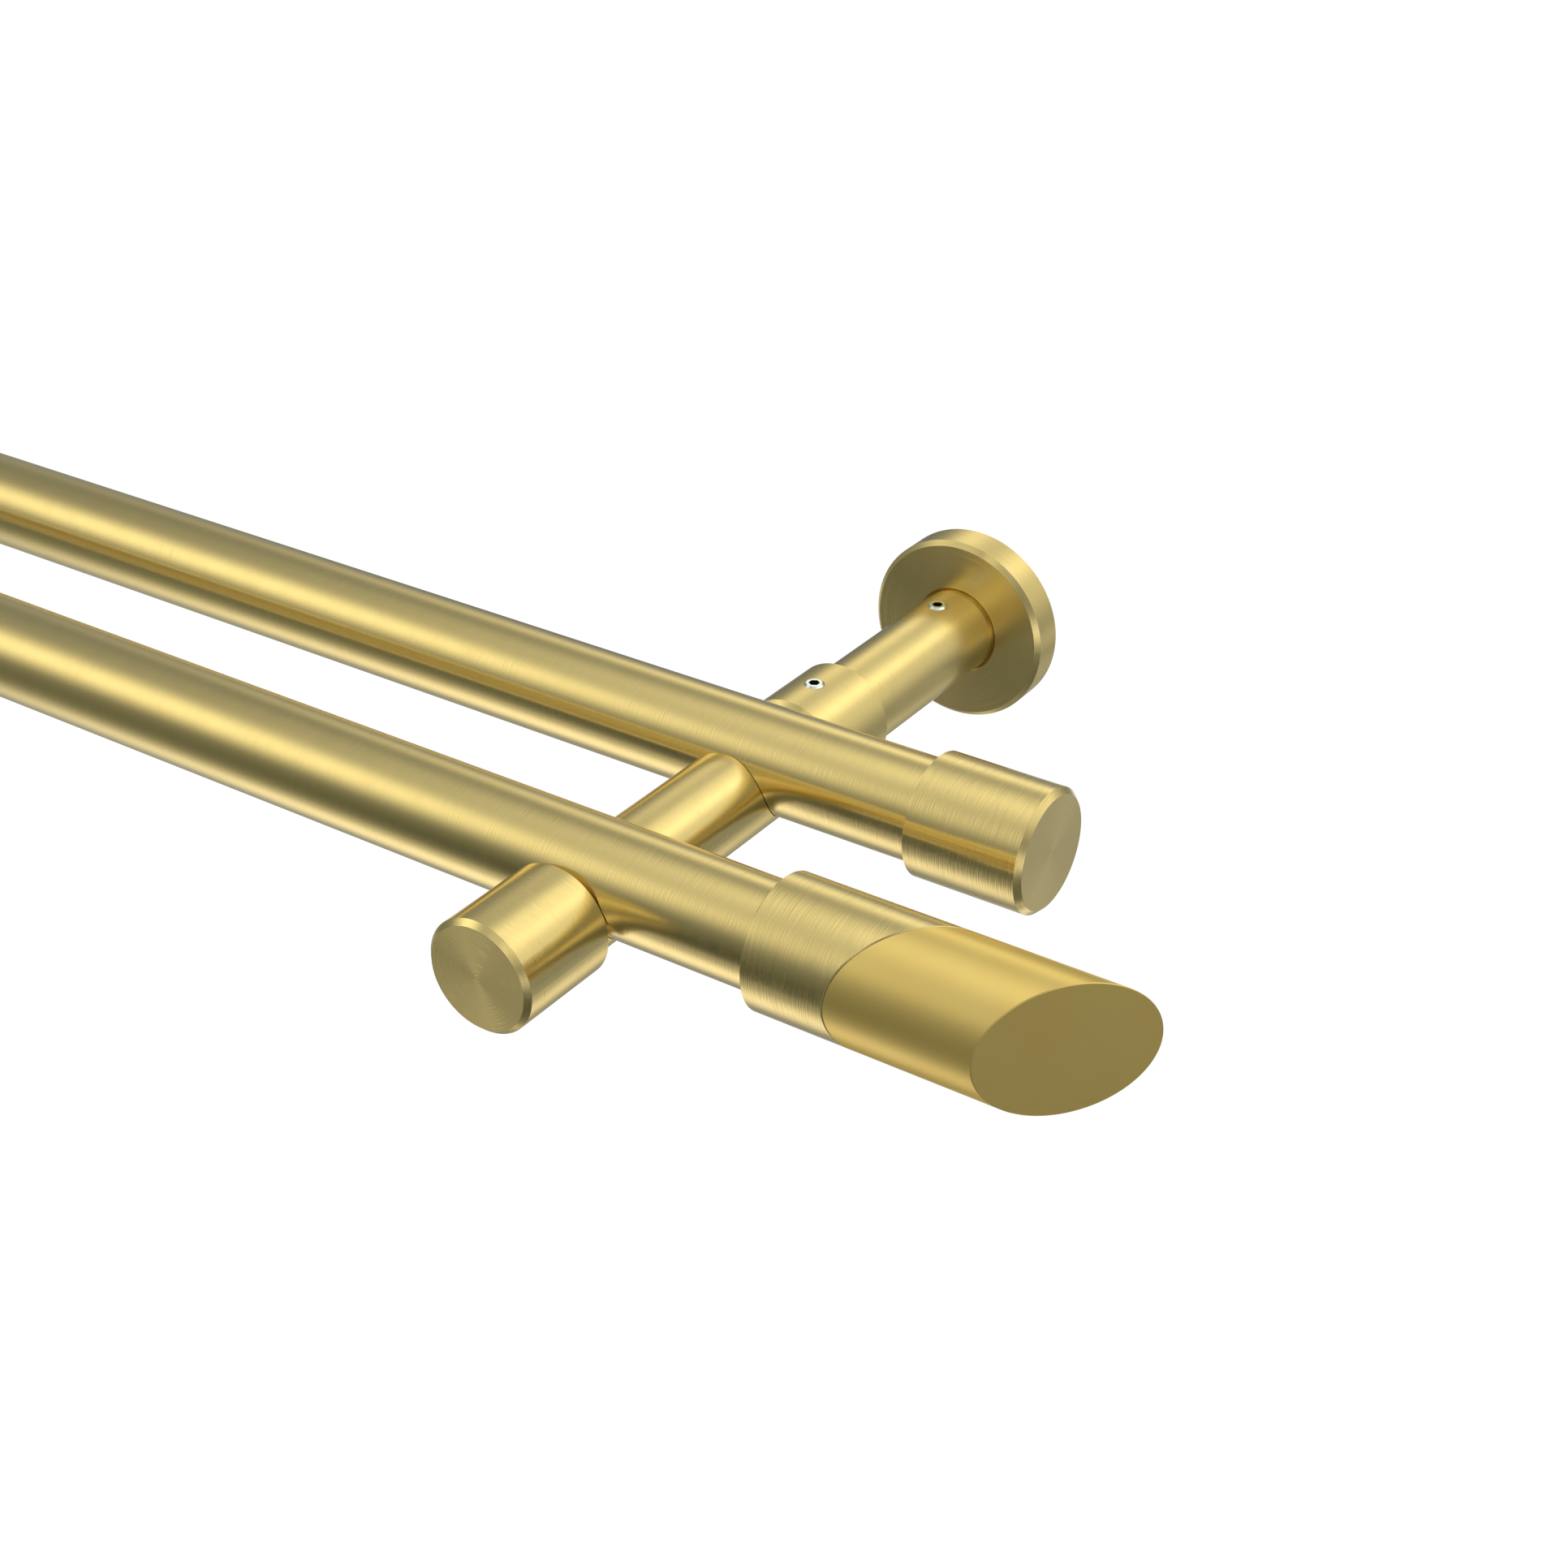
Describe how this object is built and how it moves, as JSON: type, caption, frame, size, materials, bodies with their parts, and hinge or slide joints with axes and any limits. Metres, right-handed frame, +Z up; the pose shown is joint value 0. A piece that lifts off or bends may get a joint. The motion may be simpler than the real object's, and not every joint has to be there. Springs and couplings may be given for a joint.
{
  "type": "double curtain rod",
  "caption": "Double curtain rod: parallel brass rods in through-bored wall brackets with rosettes, one pair of plain caps and one of slant-cut finials.",
  "frame": {"origin": "on the wall plane, midway between the two brackets, at the height of the bracket stems' axes", "axes": "+X along the rods, +Y into the wall (the set stands out towards -Y), +Z up"},
  "size_m": [0.901, 0.1637, 0.04],
  "materials": {
    "rod_brass": "brushed round the rod, brass colour",
    "bracket_brass": "satin, brass colour",
    "cap_brass": "turned and brushed, brass colour",
    "tip_brass": "smooth satin, deeper brass colour",
    "screw_steel": "bright plated",
    "plate_steel": "zinc plated"
  },
  "bodies": {
    "root": {"rear_rod": "rod_brass", "front_rod": "rod_brass", "wall_plate_right": "plate_steel", "wall_post_right": "plate_steel", "rosette_right": "bracket_brass", "stem_right": "bracket_brass", "stem_screw_right": "screw_steel", "connecting_sleeve_right": "bracket_brass", "sleeve_screw_right": "screw_steel", "cradle_arm_right": "bracket_brass", "rear_rod_screw_right": "screw_steel", "front_rod_screw_right": "screw_steel", "arm_cap_right": "cap_brass", "rear_rod_cap_right": "cap_brass", "finial_sleeve_right": "cap_brass", "finial_tip_right": "tip_brass", "wall_plate_left": "plate_steel", "wall_post_left": "plate_steel", "rosette_left": "bracket_brass", "stem_left": "bracket_brass", "stem_screw_left": "screw_steel", "connecting_sleeve_left": "bracket_brass", "sleeve_screw_left": "screw_steel", "cradle_arm_left": "bracket_brass", "rear_rod_screw_left": "screw_steel", "front_rod_screw_left": "screw_steel", "arm_cap_left": "cap_brass", "rear_rod_cap_left": "cap_brass", "finial_sleeve_left": "cap_brass", "finial_tip_left": "tip_brass"}
  },
  "joints": []
}
